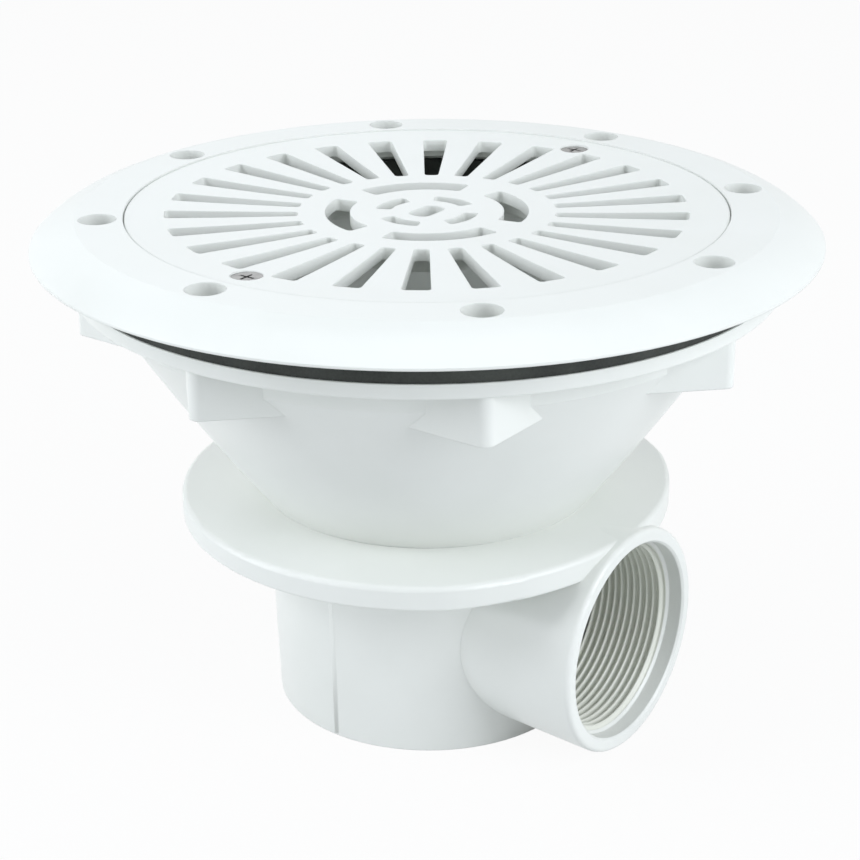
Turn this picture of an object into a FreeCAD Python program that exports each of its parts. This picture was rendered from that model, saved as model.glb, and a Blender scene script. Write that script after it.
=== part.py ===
import FreeCAD
import Part
import math
import os

# Pool main drain for a liner or concrete pool: a funnel-shaped moulded sump with a threaded side
# outlet, two rubber gaskets that grip the pool liner, a screwed clamp ring and a dished grille.
# Millimetres. The origin is on the drain's axis at the level it stands on, +Z is up and the
# outlet points along +X.

# Clamp ring, the widest piece: what lies inside it is measured in from its edges
ring_r = 117.45
ring_bevel_width = 13.65    # from the rim in to the flat face, level
ring_face_width = 14.2      # the flat face, as far in as the grille's edge
ring_rim_height = 8.4       # from the flat face down to the lower edge of the rim
ring_rim_side = 0.7         # height of the rim's upright edge
ring_bevel_rise = 1.0       # how far the bevel is domed
ring_foot_depth = 10.2      # from the flat face down to the clamping face
ring_foot_spread = 2.7      # how far the clamping foot reaches out past the flat face
ring_foot_inset = 0.3       # from the grille's edge out to the clamping foot
ring_skin = 3.6
ring_skirt = 3.0
ring_ledge_width = 10.0     # of the ledge that carries the grille
ring_ledge_thickness = 2.1
ring_flat_r = ring_r - ring_bevel_width

# Grille
grille_gap = 0.25           # all round, between the grille and the clamp ring
grille_r = ring_flat_r - ring_face_width
grille_edge_drop = 0.3      # how far its edge lies below the ring's flat face
grille_sag = 2.0            # depth of the dish from edge to centre
grille_edge_thickness = 4.3
grille_web = 3.7
grille_edge_round = 0.5
slot_count = 26
slot_in_r = 38.5
slot_margin = 11.8          # from the grille's edge in to the slots
slot_in_width = 4.3
slot_out_width = 8.0
slot_round = 1.2
arc_count = 4
arc_mid_r = 26.7
arc_width = 7.4
arc_span_deg = 68.0
arc_round = 1.2
small_mid_r = 13.2
small_width = 4.8
small_span_deg = 54.0
small_round = 1.2
eye_length = 12.0
eye_width = 7.2
eye_round = 3.0
hub_rib_r = 34.4
hub_rib_width = 2.6
hub_rib_depth = 3.6

# Screws that hold the grille, and the lugs of the clamp ring that take them
grille_screw_margin = 8.7   # from the grille's edge in to the screws
grille_screw_count = 2
grille_head_r = 4.4
grille_head_height = 2.5
grille_shank_r = 2.1
grille_screw_length = 14.0
grille_head_drop = 0.35     # the heads lie a little below the grille's face
lug_r = 5.6
lug_depth = 12.5            # below the ledge

# Screws and brass inserts of the clamp ring
screw_count = 8
screw_margin = 6.6          # from the edge of the ring's flat face in to the screws
clamp_well_r = 5.6
clamp_well_depth = 4.6
clamp_head_r = 4.8
clamp_head_height = 2.5
clamp_shank_r = 2.5
clamp_screw_length = 24.0
insert_r = 3.9
insert_length = 12.0
insert_recess = 0.3         # how far the insert lies below the flange's face

# Driver recess of every screw, as shares of its head's radius and height
recess_reach = 0.58
recess_depth = 0.75
recess_arm = 0.32           # width of an arm, as a share of the reach

# Top flange of the body, over the upright neck of the cone
flange_overhang = 2.1       # how far it reaches out past the ring's flat face
flange_thickness = 4.4
flange_round = 0.8
neck_inset = 12.9           # from the flange's edge in to the neck
neck_height = 8.6
flange_r = ring_flat_r + flange_overhang

# Screw bosses under the top flange, square in plan with one corner outwards
boss_depth = 14.1
boss_side = 40.0
boss_round = 3.0

# Cone, the funnel between the puddle flange and the neck
cone_foot_r = 52.0
cone_height = 59.3
cone_wall = 4.5
cone_bulge = 1.0            # how far the flank stands out from a straight line

# Puddle flange, the collar that keys into the concrete
puddle_r = 77.4
puddle_thickness = 7.6
puddle_top_round = 1.6
puddle_low_round = 1.0
puddle_set_back = 3.6       # over the outlet its edge is drawn in by this much
puddle_brow_flatter = 8.0   # how much larger the radius of that flatter edge is
puddle_blend_r = 30.0       # where the flatter edge runs into the round one

# Sump, the lower cylinder of the body
sump_height = 62.8          # from the foot to the underside of the puddle flange
sump_foot_r = 48.9
sump_draft = 1.7            # how much wider the cylinder is at its top
sump_wall = 5.2
floor_thickness = 4.5
foot_recess = 3.0           # hollow under the floor, inside the foot ring
foot_ring_width = 4.5

# Threaded side outlet for a two inch pipe
outlet_z = 35.6
outlet_rim_r = 35.2
outlet_stand = 2.0          # how far the face of the rim stands out past the collar's edge
outlet_draft_deg = 1.8
outlet_rim_round = 1.6
outlet_lip_round = 0.7
outlet_lead_r = 30.6
outlet_lead_depth = 5.0
outlet_thread_r = 29.8
outlet_thread_length = 25.4
outlet_way_r = 27.0

# Gaskets, one under and one over the liner
gasket_thickness = 3.1
gasket_edge = 0.5           # how far they stay inside the flange's outer edge
gasket_margin = 0.4         # how far they stay outside the mouth of the body
gasket_hole_r = 3.1

# Clearances
head_clear = 0.15
shank_clear = 0.3
thread_clear = 0.05
insert_clear = 0.05
blind_clear = 1.5
cut_over = 1.0              # how far a cutter runs past the face that it opens
same_place = 0.01           # an edge this near to a place is taken to lie there

# Levels
z_puddle_low = sump_height
z_puddle_top = z_puddle_low + puddle_thickness
z_neck = z_puddle_top + cone_height
z_flange_low = z_neck + neck_height
z_flange_top = z_flange_low + flange_thickness
z_liner = z_flange_top + gasket_thickness
z_clamp_face = z_liner + gasket_thickness
z_top = z_clamp_face + ring_foot_depth
z_ledge = z_top - grille_edge_drop - grille_edge_thickness
z_floor = foot_recess + floor_thickness

# Radii and reaches that follow from the sizes above
screw_circle_r = ring_flat_r - screw_margin
grille_screw_r = grille_r - grille_screw_margin
slot_out_r = grille_r - slot_margin
ring_bore_r = grille_r - ring_ledge_width
ring_foot_in_r = grille_r + ring_foot_inset
ring_foot_out_r = ring_flat_r + ring_foot_spread
neck_r = flange_r - neck_inset
puddle_brow_r = puddle_r + puddle_brow_flatter
puddle_brow_x = puddle_r - puddle_set_back
outlet_reach = puddle_brow_x + outlet_stand

AXIS = FreeCAD.Vector(0, 0, 1)
ORIGIN = FreeCAD.Vector(0, 0, 0)
ALONG_X = FreeCAD.Vector(1, 0, 0)


def at(r, z):
    """A point of a turned outline: r from the axis, z above the foot."""
    return FreeCAD.Vector(r, 0, z)


def polar(r, angle, z):
    return FreeCAD.Vector(r * math.cos(angle), r * math.sin(angle), z)


def across(point):
    """The same point on the other side of the plane through the axis and +X."""
    return FreeCAD.Vector(point.x, -point.y, point.z)


def outline(start, *steps):
    """A closed wire. A step is the next point, or a pair (point on an arc, end of the arc)."""
    edges = []
    here = start
    for step in steps:
        if isinstance(step, tuple):
            middle, end = step
            edges.append(Part.Arc(here, middle, end).toShape())
        else:
            end = step
            edges.append(Part.LineSegment(here, end).toShape())
        here = end
    if not here.isEqual(start, 1e-6):
        edges.append(Part.LineSegment(here, start).toShape())
    return Part.Wire(edges)


def turned(wire):
    return Part.Face(wire).revolve(ORIGIN, AXIS, 360)


def raised(wire, height):
    return Part.Face(wire).extrude(FreeCAD.Vector(0, 0, height))


def post(r, height, base):
    return Part.makeCylinder(r, height, base, AXIS)


def ring_edges(shape, r, z):
    """The edges that lie on the circle of radius r about the axis at height z."""
    found = []
    for edge in shape.Edges:
        if edge.Degenerated or not isinstance(edge.Curve, Part.Circle):
            continue
        centred = edge.Curve.Center.isEqual(at(0, z), same_place)
        if centred and abs(edge.Curve.Radius - r) < same_place:
            found.append(edge)
    return found


def pattern_angles(count, first=0.0):
    return [first + 2 * math.pi * i / count for i in range(count)]


def on_circle(shape, angle):
    """A copy of a shape built on +X, turned about the axis."""
    copy = shape.copy()
    copy.rotate(ORIGIN, AXIS, math.degrees(angle))
    return copy


def upright_edges(solid):
    """The straight edges of a solid that stand along the axis."""
    return [
        edge for edge in solid.Edges
        if isinstance(edge.Curve, Part.Line) and edge.Curve.Direction.cross(AXIS).Length < same_place
    ]


def level_edges(solid, z):
    """The edges of a solid that lie wholly at height z."""
    return [edge for edge in solid.Edges if all(abs(v.Z - z) < same_place for v in edge.Vertexes)]


def save(shape, node):
    shape.exportStep(os.path.join("parts", node + ".step"))


screw_angles = pattern_angles(screw_count)
grille_screw_angles = pattern_angles(grille_screw_count, math.pi / 2)

# The cone's wall is measured square to its flank, and the outline is drawn level
cone_slope = math.atan2(neck_r - cone_foot_r, cone_height)
cone_level_wall = cone_wall / math.cos(cone_slope)
mouth_r = neck_r - cone_level_wall
cone_mid_r = (cone_foot_r + neck_r) / 2 + cone_bulge * math.cos(cone_slope)
cone_mid_z = z_puddle_top + cone_height / 2 - cone_bulge * math.sin(cone_slope)


def body_outside():
    """The turned form of the body: cylinder, cone, neck and top flange."""
    wire = outline(
        at(0, 0),
        at(sump_foot_r, 0),
        at(sump_foot_r + sump_draft, z_puddle_low),
        at(cone_foot_r, z_puddle_top),
        (at(cone_mid_r, cone_mid_z), at(neck_r, z_neck)),
        at(neck_r, z_flange_low),
        at(flange_r, z_flange_low),
        at(flange_r, z_flange_top),
        at(0, z_flange_top),
    )
    solid = turned(wire)
    return solid.makeFillet(flange_round, ring_edges(solid, flange_r, z_flange_low))


def puddle_flange():
    """A disc with rounded edges, flatter over the outlet so that the outlet's rim stands clear.

    Three arcs that run smoothly into each other form each half of it: round, blend and brow.
    """
    brow_centre_x = puddle_brow_x - puddle_brow_r
    # The blend's centre lies on a circle inside the round edge and on one inside the brow's edge
    round_inner = puddle_r - puddle_blend_r
    brow_inner = puddle_brow_r - puddle_blend_r
    blend_x = (round_inner ** 2 - brow_inner ** 2 + brow_centre_x ** 2) / (2 * brow_centre_x)
    blend_y = math.sqrt(round_inner ** 2 - blend_x ** 2)
    round_angle = math.atan2(blend_y, blend_x)
    brow_angle = math.atan2(blend_y, blend_x - brow_centre_x)
    round_end = polar(puddle_r, round_angle, z_puddle_low)
    brow_end = at(brow_centre_x, z_puddle_low) + polar(puddle_brow_r, brow_angle, 0)
    blend_middle = (FreeCAD.Vector(blend_x, blend_y, z_puddle_low)
                    + polar(puddle_blend_r, (round_angle + brow_angle) / 2, 0))
    wire = outline(
        round_end,
        (at(-puddle_r, z_puddle_low), across(round_end)),
        (across(blend_middle), across(brow_end)),
        (at(puddle_brow_x, z_puddle_low), brow_end),
        (blend_middle, round_end),
    )
    disc = raised(wire, puddle_thickness)
    disc = disc.makeFillet(puddle_top_round, level_edges(disc, z_puddle_top))
    return disc.makeFillet(puddle_low_round, level_edges(disc, z_puddle_low))


def body_cavity():
    wire = outline(
        at(0, z_floor),
        at(sump_foot_r - sump_wall, z_floor),
        at(sump_foot_r + sump_draft - sump_wall, z_puddle_low),
        at(cone_foot_r - cone_level_wall, z_puddle_top),
        (at(cone_mid_r - cone_level_wall, cone_mid_z), at(mouth_r, z_neck)),
        at(mouth_r, z_flange_top + cut_over),
        at(0, z_flange_top + cut_over),
    )
    return turned(wire)


def screw_boss():
    """The boss on +X: its rounded corner points outwards and it ends inside the cone's wall."""
    half = boss_side / math.sqrt(2)
    low = z_flange_low - boss_depth
    wire = outline(
        at(flange_r, low),
        FreeCAD.Vector(flange_r - half, half, low),
        FreeCAD.Vector(flange_r - 2 * half, 0, low),
        FreeCAD.Vector(flange_r - half, -half, low),
    )
    block = raised(wire, boss_depth + flange_thickness / 2)
    corner = [
        edge for edge in block.Edges
        if all(abs(v.X - flange_r) < same_place for v in edge.Vertexes)
    ]
    return block.makeFillet(boss_round, corner)


def outlet_tube():
    """The tube widens towards its rim, and starts on the axis so that it joins all the wall."""
    root_r = outlet_rim_r - outlet_reach * math.tan(math.radians(outlet_draft_deg))
    tube = Part.makeCone(root_r, outlet_rim_r, outlet_reach, at(0, outlet_z), ALONG_X)
    rim = [
        edge for edge in tube.Edges
        if isinstance(edge.Curve, Part.Circle)
        and abs(edge.Curve.Center.x - outlet_reach) < same_place
    ]
    return tube.makeFillet(outlet_rim_round, rim)


def outlet_bores():
    """The plain lead-in, the chamfer behind it, the thread's bore and the way into the sump."""
    lead_x = outlet_reach - outlet_lead_depth
    chamfer = outlet_lead_r - outlet_thread_r
    thread_x = lead_x - chamfer - outlet_thread_length
    lead = Part.makeCylinder(
        outlet_lead_r, outlet_lead_depth + cut_over, at(lead_x, outlet_z), ALONG_X)
    lip = Part.makeCone(
        outlet_lead_r, outlet_lead_r + outlet_lip_round, outlet_lip_round,
        at(outlet_reach - outlet_lip_round, outlet_z), ALONG_X)
    shoulder = Part.makeCone(
        outlet_thread_r, outlet_lead_r, chamfer, at(lead_x - chamfer, outlet_z), ALONG_X)
    thread = Part.makeCylinder(
        outlet_thread_r, outlet_thread_length, at(thread_x, outlet_z), ALONG_X)
    way = Part.makeCylinder(outlet_way_r, thread_x, at(0, outlet_z), ALONG_X)
    return [lead, lip, shoulder, thread, way]


def insert_hole():
    depth = insert_recess + insert_length + blind_clear
    return post(insert_r + insert_clear, depth, at(screw_circle_r, z_flange_top - depth))


def make_body():
    bosses = [on_circle(screw_boss(), angle) for angle in screw_angles]
    solid = body_outside().multiFuse([puddle_flange(), outlet_tube()] + bosses)
    under_floor = post(sump_foot_r - foot_ring_width, foot_recess, ORIGIN)
    holes = [on_circle(insert_hole(), angle) for angle in screw_angles]
    solid = solid.cut([body_cavity(), under_floor] + outlet_bores() + holes)
    return solid.removeSplitter()


def make_gasket(z_low):
    outer = post(flange_r - gasket_edge, gasket_thickness, at(0, z_low))
    inner = post(mouth_r + gasket_margin, gasket_thickness, at(0, z_low))
    hole = post(gasket_hole_r, gasket_thickness, at(screw_circle_r, z_low))
    return outer.cut([inner] + [on_circle(hole, angle) for angle in screw_angles])


def ring_section():
    """The turned section of the clamp ring, hollow under the skin outside the clamping foot."""
    rim_low = z_top - ring_rim_height
    rim_side_top = rim_low + ring_rim_side
    bevel_mid = at((ring_flat_r + ring_r) / 2 + ring_bevel_rise / 2,
                   (z_top + rim_side_top) / 2 + ring_bevel_rise)
    pocket_r = grille_r + grille_gap
    return outline(
        at(ring_bore_r, z_ledge),
        at(pocket_r, z_ledge),
        at(pocket_r, z_top),
        at(ring_flat_r, z_top),
        (bevel_mid, at(ring_r, rim_side_top)),
        at(ring_r, rim_low),
        at(ring_r - ring_skirt, rim_low),
        at(ring_r - ring_skirt, rim_side_top),
        at(ring_foot_out_r, z_top - ring_skin),
        at(ring_foot_out_r, z_clamp_face),
        at(ring_foot_in_r, z_clamp_face),
        at(ring_foot_in_r, z_ledge - ring_ledge_thickness),
        at(ring_bore_r, z_ledge - ring_ledge_thickness),
    )


def clamp_screw_hole():
    """A deep round well, a countersink for the head and a clearance hole."""
    well_floor = z_top - clamp_well_depth
    well = post(clamp_well_r, clamp_well_depth + cut_over, at(screw_circle_r, well_floor))
    sink = Part.makeCone(
        clamp_shank_r + head_clear, clamp_head_r + head_clear, clamp_head_height,
        at(screw_circle_r, well_floor - clamp_head_height), AXIS)
    shank = post(clamp_shank_r + shank_clear, well_floor - z_clamp_face,
                 at(screw_circle_r, z_clamp_face))
    return well.fuse([sink, shank])


def grille_lug():
    """The lug on +X that takes a grille screw, hung under the ledge of the clamp ring."""
    low = z_ledge - lug_depth
    pillar = post(lug_r, lug_depth, at(grille_screw_r, low))
    foot_mid_r = (ring_foot_in_r + screw_circle_r) / 2
    web = Part.makeBox(
        foot_mid_r - grille_screw_r, 2 * lug_r, z_ledge - z_clamp_face,
        FreeCAD.Vector(grille_screw_r, -lug_r, z_clamp_face))
    return pillar.fuse(web)


def grille_screw_top():
    """Level of a grille screw's head, which follows the dish of the grille."""
    return grille_face(grille_screw_r) - grille_head_drop


def make_clamp_ring():
    lugs = [on_circle(grille_lug(), angle) for angle in grille_screw_angles]
    solid = turned(ring_section()).multiFuse(lugs)
    pilot_depth = grille_screw_length + blind_clear
    pilot_low = grille_screw_top() - pilot_depth
    pilot = post(grille_shank_r + thread_clear, z_ledge - pilot_low, at(grille_screw_r, pilot_low))
    holes = [on_circle(clamp_screw_hole(), angle) for angle in screw_angles]
    pilots = [on_circle(pilot, angle) for angle in grille_screw_angles]
    return solid.cut(holes + pilots).removeSplitter()


def dish_rise(r, edge_r, sag):
    """Height at radius r of a round dish that rises by sag from its middle out to edge_r."""
    ball_r = (edge_r ** 2 + sag ** 2) / (2 * sag)
    return ball_r - math.sqrt(ball_r ** 2 - r ** 2)


def grille_face(r):
    """Level of the grille's dished face at radius r."""
    return z_top - grille_edge_drop - grille_sag + dish_rise(r, grille_r, grille_sag)


def grille_disc():
    """The disc: a dished face, and a dished underside inside the flat seat on ledge and lugs."""
    seat_r = min(ring_bore_r, grille_screw_r - lug_r) - grille_gap
    under = grille_face(0) - grille_web
    face_half = at(grille_r / 2, grille_face(grille_r / 2))
    under_half = at(seat_r / 2, under + dish_rise(seat_r / 2, seat_r, z_ledge - under))
    wire = outline(
        at(0, under),
        (under_half, at(seat_r, z_ledge)),
        at(grille_r, z_ledge),
        at(grille_r, grille_face(grille_r)),
        (face_half, at(0, grille_face(0))),
    )
    disc = turned(wire)
    return disc.makeFillet(grille_edge_round, ring_edges(disc, grille_r, grille_face(grille_r)))


def hub_rib():
    """The stiffening rib under the grille between its two patterns of slots."""
    low = grille_face(0) - grille_web - hub_rib_depth
    height = hub_rib_depth + grille_web / 2
    outer = post(hub_rib_r + hub_rib_width / 2, height, at(0, low))
    return outer.cut(post(hub_rib_r - hub_rib_width / 2, height, at(0, low)))


def cutter(wire, corner):
    """A cutter through the whole depth of the grille, with the corners of its plan rounded."""
    low = z_ledge - grille_sag - hub_rib_depth - grille_web
    block = raised(wire, z_top + cut_over - low)
    block.translate(FreeCAD.Vector(0, 0, low))
    return block.makeFillet(corner, upright_edges(block))


def long_slot():
    wire = outline(
        FreeCAD.Vector(slot_in_r, -slot_in_width / 2, 0),
        FreeCAD.Vector(slot_out_r, -slot_out_width / 2, 0),
        FreeCAD.Vector(slot_out_r, slot_out_width / 2, 0),
        FreeCAD.Vector(slot_in_r, slot_in_width / 2, 0),
    )
    return cutter(wire, slot_round)


def arc_slot(mid_r, width, span_deg, corner):
    half = math.radians(span_deg) / 2
    in_r = mid_r - width / 2
    out_r = mid_r + width / 2
    wire = outline(
        polar(in_r, -half, 0),
        polar(out_r, -half, 0),
        (polar(out_r, 0, 0), polar(out_r, half, 0)),
        polar(in_r, half, 0),
        (polar(in_r, 0, 0), polar(in_r, -half, 0)),
    )
    return cutter(wire, corner)


def eye_slot():
    """The slot in the centre, along Y, with well rounded ends."""
    side = eye_width / 2
    end = eye_length / 2
    wire = outline(
        FreeCAD.Vector(side, -end, 0),
        FreeCAD.Vector(side, end, 0),
        FreeCAD.Vector(-side, end, 0),
        FreeCAD.Vector(-side, -end, 0),
    )
    return cutter(wire, eye_round)


def grille_screw_hole():
    """A countersink for the head, on a clearance hole through the grille."""
    top = grille_screw_top()
    sink_low = top - grille_head_height
    shank_r = grille_shank_r + shank_clear
    head_r = grille_head_r + head_clear
    sink = Part.makeCone(shank_r, head_r, grille_head_height, at(grille_screw_r, sink_low), AXIS)
    well = post(head_r, z_top - top, at(grille_screw_r, top))
    shank = post(shank_r, sink_low - z_ledge + cut_over, at(grille_screw_r, z_ledge - cut_over))
    return sink.fuse([well, shank])


def make_grille():
    cutters = [on_circle(long_slot(), angle) for angle in pattern_angles(slot_count)]
    arc = arc_slot(arc_mid_r, arc_width, arc_span_deg, arc_round)
    cutters += [on_circle(arc, angle) for angle in pattern_angles(arc_count, math.pi / arc_count)]
    small = arc_slot(small_mid_r, small_width, small_span_deg, small_round)
    cutters += [on_circle(small, angle) for angle in pattern_angles(arc_count)]
    cutters.append(eye_slot())
    cutters += [on_circle(grille_screw_hole(), angle) for angle in grille_screw_angles]
    return grille_disc().fuse(hub_rib()).cut(cutters)


def cross_recess(r, top, reach, depth):
    """A cross-shaped driver recess, narrower towards its point."""
    arms = []
    for turn in (0, 90):
        width = reach * recess_arm
        wire = outline(
            FreeCAD.Vector(-reach, -width / 2, top),
            FreeCAD.Vector(reach, -width / 2, top),
            FreeCAD.Vector(reach / 3, -width / 2, top - depth),
            FreeCAD.Vector(-reach / 3, -width / 2, top - depth),
        )
        # The outline stands upright, so it is thickened along Y
        arm = Part.Face(wire).extrude(FreeCAD.Vector(0, width, 0))
        arm.rotate(FreeCAD.Vector(0, 0, top), AXIS, turn)
        arms.append(arm)
    cross = arms[0].fuse(arms[1])
    cross.translate(FreeCAD.Vector(r, 0, 0))
    return cross


def countersunk_screw(r, top, head_r, head_height, shank_r, length):
    """A cross-head countersunk screw on +X with its head's face at height top."""
    head = Part.makeCone(shank_r, head_r, head_height, at(r, top - head_height), AXIS)
    shank = post(shank_r, length - head_height, at(r, top - length))
    screw = head.fuse(shank).removeSplitter()
    recess = cross_recess(r, top, head_r * recess_reach, head_height * recess_depth)
    return screw.cut(recess)


def make_clamp_screws():
    screw = countersunk_screw(
        screw_circle_r, z_top - clamp_well_depth, clamp_head_r, clamp_head_height,
        clamp_shank_r, clamp_screw_length)
    return Part.makeCompound([on_circle(screw, angle) for angle in screw_angles])


def make_grille_screws():
    screw = countersunk_screw(
        grille_screw_r, grille_screw_top(), grille_head_r, grille_head_height,
        grille_shank_r, grille_screw_length)
    return Part.makeCompound([on_circle(screw, angle) for angle in grille_screw_angles])


def make_inserts():
    low = z_flange_top - insert_recess - insert_length
    insert = post(insert_r, insert_length, at(screw_circle_r, low))
    insert = insert.cut(post(clamp_shank_r + thread_clear, insert_length, at(screw_circle_r, low)))
    return Part.makeCompound([on_circle(insert, angle) for angle in screw_angles])


os.makedirs("parts", exist_ok=True)
save(make_body(), "body")
save(make_gasket(z_flange_top), "lower_gasket")
save(make_gasket(z_liner), "upper_gasket")
save(make_clamp_ring(), "clamp_ring")
save(make_grille(), "grille")
save(make_grille_screws(), "grille_screws")
save(make_clamp_screws(), "clamp_screws")
save(make_inserts(), "threaded_inserts")
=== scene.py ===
import math

import bmesh
import bpy
from mathutils import Matrix, Vector


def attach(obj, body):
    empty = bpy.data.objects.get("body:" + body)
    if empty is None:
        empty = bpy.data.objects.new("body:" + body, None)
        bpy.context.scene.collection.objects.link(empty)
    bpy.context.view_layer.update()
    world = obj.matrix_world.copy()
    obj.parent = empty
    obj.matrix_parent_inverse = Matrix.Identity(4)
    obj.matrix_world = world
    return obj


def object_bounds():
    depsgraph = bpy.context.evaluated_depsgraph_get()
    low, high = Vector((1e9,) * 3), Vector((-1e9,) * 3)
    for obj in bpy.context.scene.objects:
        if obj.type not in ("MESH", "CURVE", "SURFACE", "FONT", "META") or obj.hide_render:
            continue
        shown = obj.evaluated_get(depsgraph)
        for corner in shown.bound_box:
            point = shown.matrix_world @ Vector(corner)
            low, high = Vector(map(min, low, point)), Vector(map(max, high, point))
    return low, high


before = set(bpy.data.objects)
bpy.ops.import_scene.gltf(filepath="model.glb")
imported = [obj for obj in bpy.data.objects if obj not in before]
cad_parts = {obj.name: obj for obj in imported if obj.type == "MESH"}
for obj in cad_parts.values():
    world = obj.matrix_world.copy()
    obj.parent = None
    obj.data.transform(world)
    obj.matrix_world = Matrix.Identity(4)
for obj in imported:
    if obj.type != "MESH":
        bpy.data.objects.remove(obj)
cad_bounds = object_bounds()

# Pool main drain, dressed for its studio photograph. Metres, in the frame of the CAD model:
# the axis is Z, the foot stands at zero and the outlet points along +X.

MM = 0.001
UP = Vector((0, 0, 1))

# The camera, solved from the photograph
PHOTO_PX = 860
FOCAL_PX = 1992.6
SENSOR_MM = 36.0
CAMERA_DISTANCE = 0.5976        # to the centre of the ring's flat face
CAMERA_AZIMUTH = 36.84          # degrees from -Y towards +X
CAMERA_ELEVATION = 16.28
CAMERA_PITCH = 6.484            # degrees below that centre
CAMERA_ROLL = -0.454
CAMERA_YAW = -0.036

# The outlet's pipe thread, which stands inwards from the bore of the CAD body
OUTLET_Z = 35.6 * MM
THREAD_START_X = 44.6 * MM
THREAD_END_X = 70.0 * MM
THREAD_R = 29.8 * MM
THREAD_PITCH = 2.309 * MM
THREAD_DEPTH = 1.42 * MM
THREAD_SKIN = 0.02 * MM         # the roots stand this far clear of the bore
THREAD_LEAD = 0.8 * MM          # the first thread rises over this length
THREAD_COLUMNS = 144
THREAD_ROWS_A_TURN = 8
THREAD_FLAT_SHARE = 0.17        # of half a pitch that the crest and the root each stay flat
THREAD_ROUND_SHARE = 0.35       # how far the flanks bend from straight to an S shape

# The lower cylinder, whose mould parted at the front and the rear
SUMP_FOOT_R = 48.9 * MM
SUMP_TOP_R = 50.6 * MM
SUMP_HEIGHT = 62.8 * MM
MOULD_LINE_ENDS = 0.6 * MM      # it stops this far from the foot and from the collar
MOULD_LINE_WIDTH = 2.0 * MM
MOULD_LINE_RISE = 0.04 * MM

# Half widths and heights of the mould line's rounded section, as shares of its width and rise
MOULD_LINE_SECTION = ((-1, -1.0), (-0.6, 0.3), (-0.25, 0.9), (0, 1.0), (0.25, 0.9), (0.6, 0.3), (1, -1.0))

# The studio
FLOOR_R = 4.0
FLOOR_PLAIN_SHARE = 0.94        # of the floor's look that is plain white and takes no shadow
FILL_STRENGTH = 0.41
LAMP_COLOUR = (0.92, 0.95, 1.0) # a cool daylight white
SKY_COLOUR = (0.86, 0.93, 1.0)  # a little bluer, for the lamp above
LAMP_TARGET = Vector((0, 0, 90 * MM))


def new_material(name):
    """A node material with an empty Principled surface. Returns (material, nodes, links, shader)."""
    material = bpy.data.materials.new(name)
    material.use_nodes = True
    tree = material.node_tree
    shader = tree.nodes["Principled BSDF"]
    return material, tree.nodes, tree.links, shader


def object_noise(nodes, links, scale, detail=3.0):
    """A noise texture in the frame's metres, the same on every piece."""
    place = nodes.new("ShaderNodeTexCoord")
    noise = nodes.new("ShaderNodeTexNoise")
    noise.inputs["Scale"].default_value = scale
    noise.inputs["Detail"].default_value = detail
    links.new(place.outputs["Object"], noise.inputs["Vector"])
    return noise


def blended_colour(nodes, links, factor, dark, light, shader):
    ramp = nodes.new("ShaderNodeValToRGB")
    ramp.color_ramp.elements[0].position = 0.35
    ramp.color_ramp.elements[0].color = (*dark, 1)
    ramp.color_ramp.elements[1].position = 0.65
    ramp.color_ramp.elements[1].color = (*light, 1)
    links.new(factor, ramp.inputs["Fac"])
    links.new(ramp.outputs["Color"], shader.inputs["Base Color"])


def blended_roughness(nodes, links, factor, low, high, shader):
    span = nodes.new("ShaderNodeMapRange")
    span.inputs["From Min"].default_value = 0.3
    span.inputs["From Max"].default_value = 0.7
    span.inputs["To Min"].default_value = low
    span.inputs["To Max"].default_value = high
    links.new(factor, span.inputs["Value"])
    links.new(span.outputs["Result"], shader.inputs["Roughness"])


def soft_edges(nodes, radius):
    """Normals that round a moulded edge over a small radius."""
    bevel = nodes.new("ShaderNodeBevel")
    bevel.samples = 6
    bevel.inputs["Radius"].default_value = radius
    return bevel


def bumped(nodes, links, height, distance, strength, shader, bevel=None):
    bump = nodes.new("ShaderNodeBump")
    bump.inputs["Distance"].default_value = distance
    bump.inputs["Strength"].default_value = strength
    links.new(height, bump.inputs["Height"])
    if bevel:
        links.new(bevel.outputs["Normal"], bump.inputs["Normal"])
    links.new(bump.outputs["Normal"], shader.inputs["Normal"])


def white_plastic(name, dark, light):
    """Moulded white ABS between two close whites, satin, with soft moulded edges."""
    material, nodes, links, shader = new_material(name)
    cloud = object_noise(nodes, links, 22.0)
    skin = object_noise(nodes, links, 900.0, 2.0)
    blended_colour(nodes, links, cloud.outputs["Fac"], dark, light, shader)
    blended_roughness(nodes, links, cloud.outputs["Fac"], 0.30, 0.42, shader)
    bevel = soft_edges(nodes, 0.45 * MM)
    bumped(nodes, links, skin.outputs["Fac"], 0.05 * MM, 0.12, shader, bevel)
    shader.inputs["IOR"].default_value = 1.53
    return material


def black_rubber():
    """Black sheet rubber with a slightly greenish, dusty face and a fine grain."""
    material, nodes, links, shader = new_material("black_rubber_sheet")
    dust = object_noise(nodes, links, 60.0)
    grain = object_noise(nodes, links, 1600.0, 4.0)
    blended_colour(nodes, links, dust.outputs["Fac"], (0.020, 0.024, 0.021), (0.042, 0.048, 0.042), shader)
    blended_roughness(nodes, links, grain.outputs["Fac"], 0.58, 0.8, shader)
    bumped(nodes, links, grain.outputs["Fac"], 0.1 * MM, 0.35, shader)
    return material


def stainless_steel():
    """Plain stainless steel with fine turning marks."""
    material, nodes, links, shader = new_material("stainless")
    shader.inputs["Metallic"].default_value = 1.0
    stain = object_noise(nodes, links, 400.0)
    marks = object_noise(nodes, links, 2600.0, 5.0)
    blended_colour(nodes, links, stain.outputs["Fac"], (0.23, 0.23, 0.228), (0.34, 0.34, 0.335), shader)
    blended_roughness(nodes, links, stain.outputs["Fac"], 0.24, 0.40, shader)
    bumped(nodes, links, marks.outputs["Fac"], 0.05 * MM, 0.3, shader)
    return material


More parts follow.
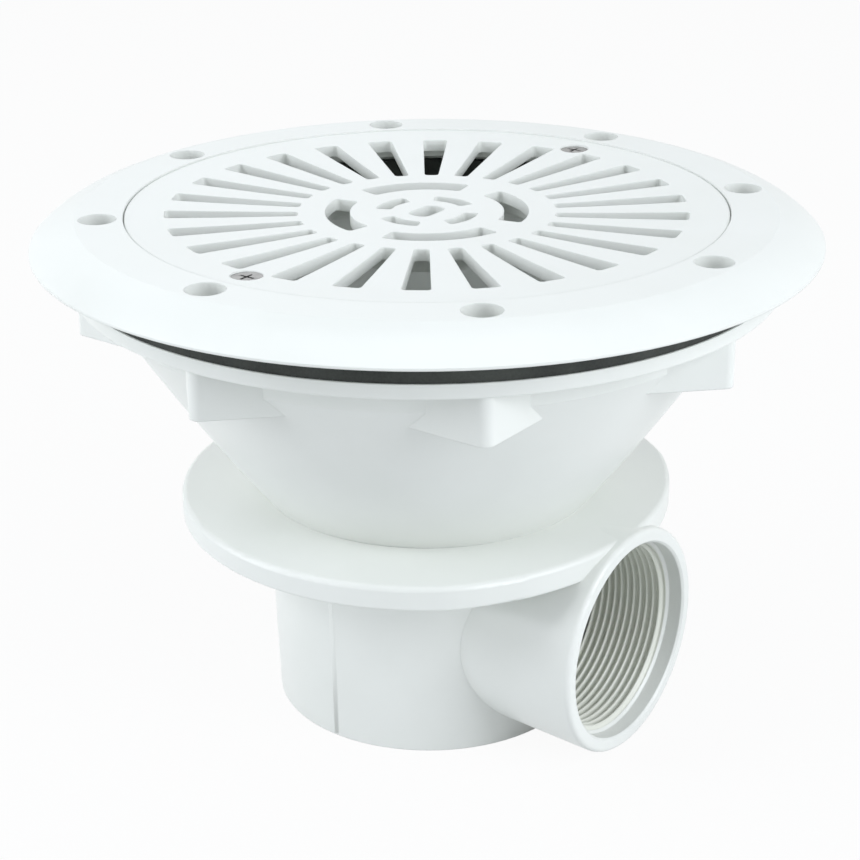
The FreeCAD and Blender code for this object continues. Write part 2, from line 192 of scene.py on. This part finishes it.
def insert_brass():
    """Turned brass with the fine upright knurl of a moulded-in insert."""
    material, nodes, links, shader = new_material("turned_brass")
    shader.inputs["Metallic"].default_value = 1.0
    stain = object_noise(nodes, links, 300.0)
    knurl = nodes.new("ShaderNodeTexWave")
    knurl.inputs["Scale"].default_value = 700.0
    knurl.inputs["Distortion"].default_value = 0.2
    knurl.bands_direction = "DIAGONAL"
    place = nodes.new("ShaderNodeTexCoord")
    links.new(place.outputs["Object"], knurl.inputs["Vector"])
    blended_colour(nodes, links, stain.outputs["Fac"], (0.62, 0.45, 0.18), (0.78, 0.60, 0.28), shader)
    blended_roughness(nodes, links, stain.outputs["Fac"], 0.28, 0.42, shader)
    bumped(nodes, links, knurl.outputs["Fac"], 0.1 * MM, 0.4, shader)
    return material


def dress(node, material):
    """Gives a CAD node its finish, without touching its mesh."""
    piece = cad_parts[node]
    for place in piece.material_slots:
        place.material = material


def add_moulded_piece(name, mesh, material):
    """A white piece made from a bmesh. It belongs to the body's moulding."""
    data = bpy.data.meshes.new(name)
    mesh.to_mesh(data)
    mesh.free()
    data.materials.append(material)
    piece = bpy.data.objects.new(name, data)
    bpy.context.scene.collection.objects.link(piece)
    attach(piece, "root")


def thread_height(turn):
    """Height of a rounded 55 degree thread at a share of its pitch, from 0 at the root to 1."""
    slope = abs(2 * (turn % 1.0) - 1)
    flank = (slope - THREAD_FLAT_SHARE) / (1 - 2 * THREAD_FLAT_SHARE)
    flank = min(max(flank, 0.0), 1.0)
    bent = flank * flank * (3 - 2 * flank)
    return bent * THREAD_ROUND_SHARE + flank * (1 - THREAD_ROUND_SHARE)


def outlet_thread(material):
    """The thread as one helical sheet whose rows follow the helix, so its crests stay clean."""
    mesh = bmesh.new()
    turns = (THREAD_END_X - THREAD_START_X) / THREAD_PITCH
    row_count = math.ceil((turns + 1) * THREAD_ROWS_A_TURN)
    rows = []
    for row in range(row_count + 1):
        ring = []
        for column in range(THREAD_COLUMNS + 1):
            around = column / THREAD_COLUMNS
            share = row / THREAD_ROWS_A_TURN
            x = THREAD_START_X + (share + around - 1) * THREAD_PITCH
            x = min(max(x, THREAD_START_X), THREAD_END_X)
            lead = min(1.0, (THREAD_END_X - x) / THREAD_LEAD)
            rise = THREAD_DEPTH * min(thread_height(share), lead)
            r = THREAD_R - THREAD_SKIN - rise
            angle = 2 * math.pi * around
            ring.append(mesh.verts.new((x, r * math.sin(angle), OUTLET_Z + r * math.cos(angle))))
        rows.append(ring)
    for low, high in zip(rows, rows[1:]):
        for column in range(THREAD_COLUMNS):
            face = mesh.faces.new((low[column], low[column + 1], high[column + 1], high[column]))
            face.smooth = True
    bmesh.ops.remove_doubles(mesh, verts=mesh.verts, dist=0.002 * MM)
    bmesh.ops.dissolve_degenerate(mesh, edges=mesh.edges, dist=0.001 * MM)
    add_moulded_piece("outlet_thread", mesh, material)


def mould_line(name, around, material):
    """The faint ridge that the mould's parting leaves up the side of the lower cylinder."""
    mesh = bmesh.new()
    angle = math.radians(around)
    out = Vector((math.cos(angle), math.sin(angle), 0))
    side = Vector((-math.sin(angle), math.cos(angle), 0))
    rows = []
    end_share = MOULD_LINE_ENDS / SUMP_HEIGHT
    for share in (end_share, 1 - end_share):
        r = SUMP_FOOT_R + (SUMP_TOP_R - SUMP_FOOT_R) * share
        rows.append([
            mesh.verts.new(out * (r + MOULD_LINE_RISE * rise) + side * (MOULD_LINE_WIDTH / 2 * offset)
                           + UP * (SUMP_HEIGHT * share))
            for offset, rise in MOULD_LINE_SECTION
        ])
    low, high = rows
    for column in range(len(MOULD_LINE_SECTION) - 1):
        face = mesh.faces.new((low[column], low[column + 1], high[column + 1], high[column]))
        face.smooth = True
    mesh.faces.new(low[::-1])
    mesh.faces.new(high)
    add_moulded_piece(name, mesh, material)


def background_rays(nodes, links):
    """One for the rays that show a surface as a background: camera, glossy and transmission."""
    path = nodes.new("ShaderNodeLightPath")
    seen = path.outputs["Is Camera Ray"]
    for kind in ("Is Glossy Ray", "Is Transmission Ray"):
        either = nodes.new("ShaderNodeMath")
        either.operation = "MAXIMUM"
        links.new(seen, either.inputs[0])
        links.new(path.outputs[kind], either.inputs[1])
        seen = either.outputs[0]
    return seen


def studio_floor():
    """A wide white table that keeps a faint shadow of the drain."""
    material, nodes, links, shader = new_material("white_table")
    shader.inputs["Base Color"].default_value = (0.66, 0.67, 0.67, 1)
    shader.inputs["Roughness"].default_value = 0.9
    share = nodes.new("ShaderNodeMath")
    share.operation = "MULTIPLY"
    share.inputs[1].default_value = FLOOR_PLAIN_SHARE
    links.new(background_rays(nodes, links), share.inputs[0])
    plain = nodes.new("ShaderNodeEmission")
    plain.inputs["Strength"].default_value = 1.0
    mix = nodes.new("ShaderNodeMixShader")
    links.new(share.outputs[0], mix.inputs["Fac"])
    links.new(shader.outputs[0], mix.inputs[1])
    links.new(plain.outputs[0], mix.inputs[2])
    links.new(mix.outputs[0], nodes["Material Output"].inputs["Surface"])
    bpy.ops.mesh.primitive_circle_add(vertices=96, radius=FLOOR_R, fill_type="NGON")
    floor = bpy.context.object
    floor.name = "studio_floor"
    floor.data.materials.append(material)


def studio_world():
    """Even light from all round, seen as white by the camera and in reflections."""
    world = bpy.data.worlds.new("studio_world")
    world.use_nodes = True
    nodes = world.node_tree.nodes
    links = world.node_tree.links
    fill = nodes["Background"]
    fill.inputs["Color"].default_value = (*LAMP_COLOUR, 1)
    fill.inputs["Strength"].default_value = FILL_STRENGTH
    seen = nodes.new("ShaderNodeBackground")
    seen.inputs["Color"].default_value = (1.0, 1.0, 1.0, 1)
    mix = nodes.new("ShaderNodeMixShader")
    links.new(background_rays(nodes, links), mix.inputs["Fac"])
    links.new(fill.outputs[0], mix.inputs[1])
    links.new(seen.outputs[0], mix.inputs[2])
    links.new(mix.outputs[0], nodes["World Output"].inputs["Surface"])
    bpy.context.scene.world = world


def direction(azimuth, elevation):
    """From the object towards a place round it; azimuth in degrees from -Y towards +X."""
    around = math.radians(azimuth)
    up = math.radians(elevation)
    return Vector((math.sin(around) * math.cos(up), -math.cos(around) * math.cos(up), math.sin(up)))


def softbox(name, azimuth, elevation, distance, width, height, watts, colour=LAMP_COLOUR):
    """A rectangular lamp aimed at the drain, in metres and watts."""
    light = bpy.data.lights.new(name, "AREA")
    light.shape = "RECTANGLE"
    light.size = width
    light.size_y = height
    light.energy = watts
    light.color = colour
    lamp = bpy.data.objects.new(name, light)
    out = direction(azimuth, elevation)
    lamp.location = LAMP_TARGET + out * distance
    lamp.rotation_euler = out.to_track_quat("Z", "Y").to_euler()
    bpy.context.scene.collection.objects.link(lamp)


def studio_lights():
    softbox("softbox_right", 92, 24, 1.4, 0.8, 0.9, 12.6)
    softbox("softbox_left", -40, 24, 1.4, 0.8, 0.9, 11.6)
    softbox("softbox_above", 20, 80, 1.3, 1.3, 1.1, 4.6, SKY_COLOUR)
    softbox("softbox_behind", -125, 35, 1.4, 0.9, 0.9, 1.2)


def photo_camera():
    """The photograph's camera: aimed at the ring's flat face, then pitched below it."""
    target = Vector((0, 0, cad_bounds[1][2]))
    out = direction(CAMERA_AZIMUTH, CAMERA_ELEVATION)
    forward = -out
    right = forward.cross(UP).normalized()
    down = forward.cross(right).normalized()
    aim = Matrix((right, down, forward))
    aim = Matrix.Rotation(math.radians(CAMERA_YAW), 3, "Y") @ aim
    aim = Matrix.Rotation(math.radians(CAMERA_PITCH), 3, "X") @ aim
    aim = Matrix.Rotation(math.radians(CAMERA_ROLL), 3, "Z") @ aim
    data = bpy.data.cameras.new("photo_camera")
    data.sensor_width = SENSOR_MM
    data.lens = FOCAL_PX / PHOTO_PX * SENSOR_MM
    data.clip_end = 50
    camera = bpy.data.objects.new("photo_camera", data)
    axes = Matrix((aim[0], -aim[1], -aim[2])).transposed()
    camera.matrix_world = Matrix.Translation(target + out * CAMERA_DISTANCE) @ axes.to_4x4()
    bpy.context.scene.collection.objects.link(camera)
    bpy.context.scene.camera = camera


abs_white = white_plastic("white_abs", (0.795, 0.815, 0.778), (0.826, 0.844, 0.810))
# The thread's copy of the white ABS is darker and greener than the body's: painted shade of the outlet's
# bore
thread_abs_painted_shade = white_plastic("white_abs_thread_painted_shade", (0.715, 0.735, 0.655), (0.760, 0.775, 0.700))
rubber = black_rubber()
steel = stainless_steel()
for node in ("body", "clamp_ring", "grille"):
    dress(node, abs_white)
for node in ("lower_gasket", "upper_gasket"):
    dress(node, rubber)
for node in ("clamp_screws", "grille_screws"):
    dress(node, steel)
dress("threaded_inserts", insert_brass())
outlet_thread(thread_abs_painted_shade)
mould_line("mould_line_front", -90, abs_white)
mould_line("mould_line_rear", 90, abs_white)

studio_floor()
studio_world()
studio_lights()
photo_camera()
bpy.context.scene.view_settings.view_transform = "Standard"
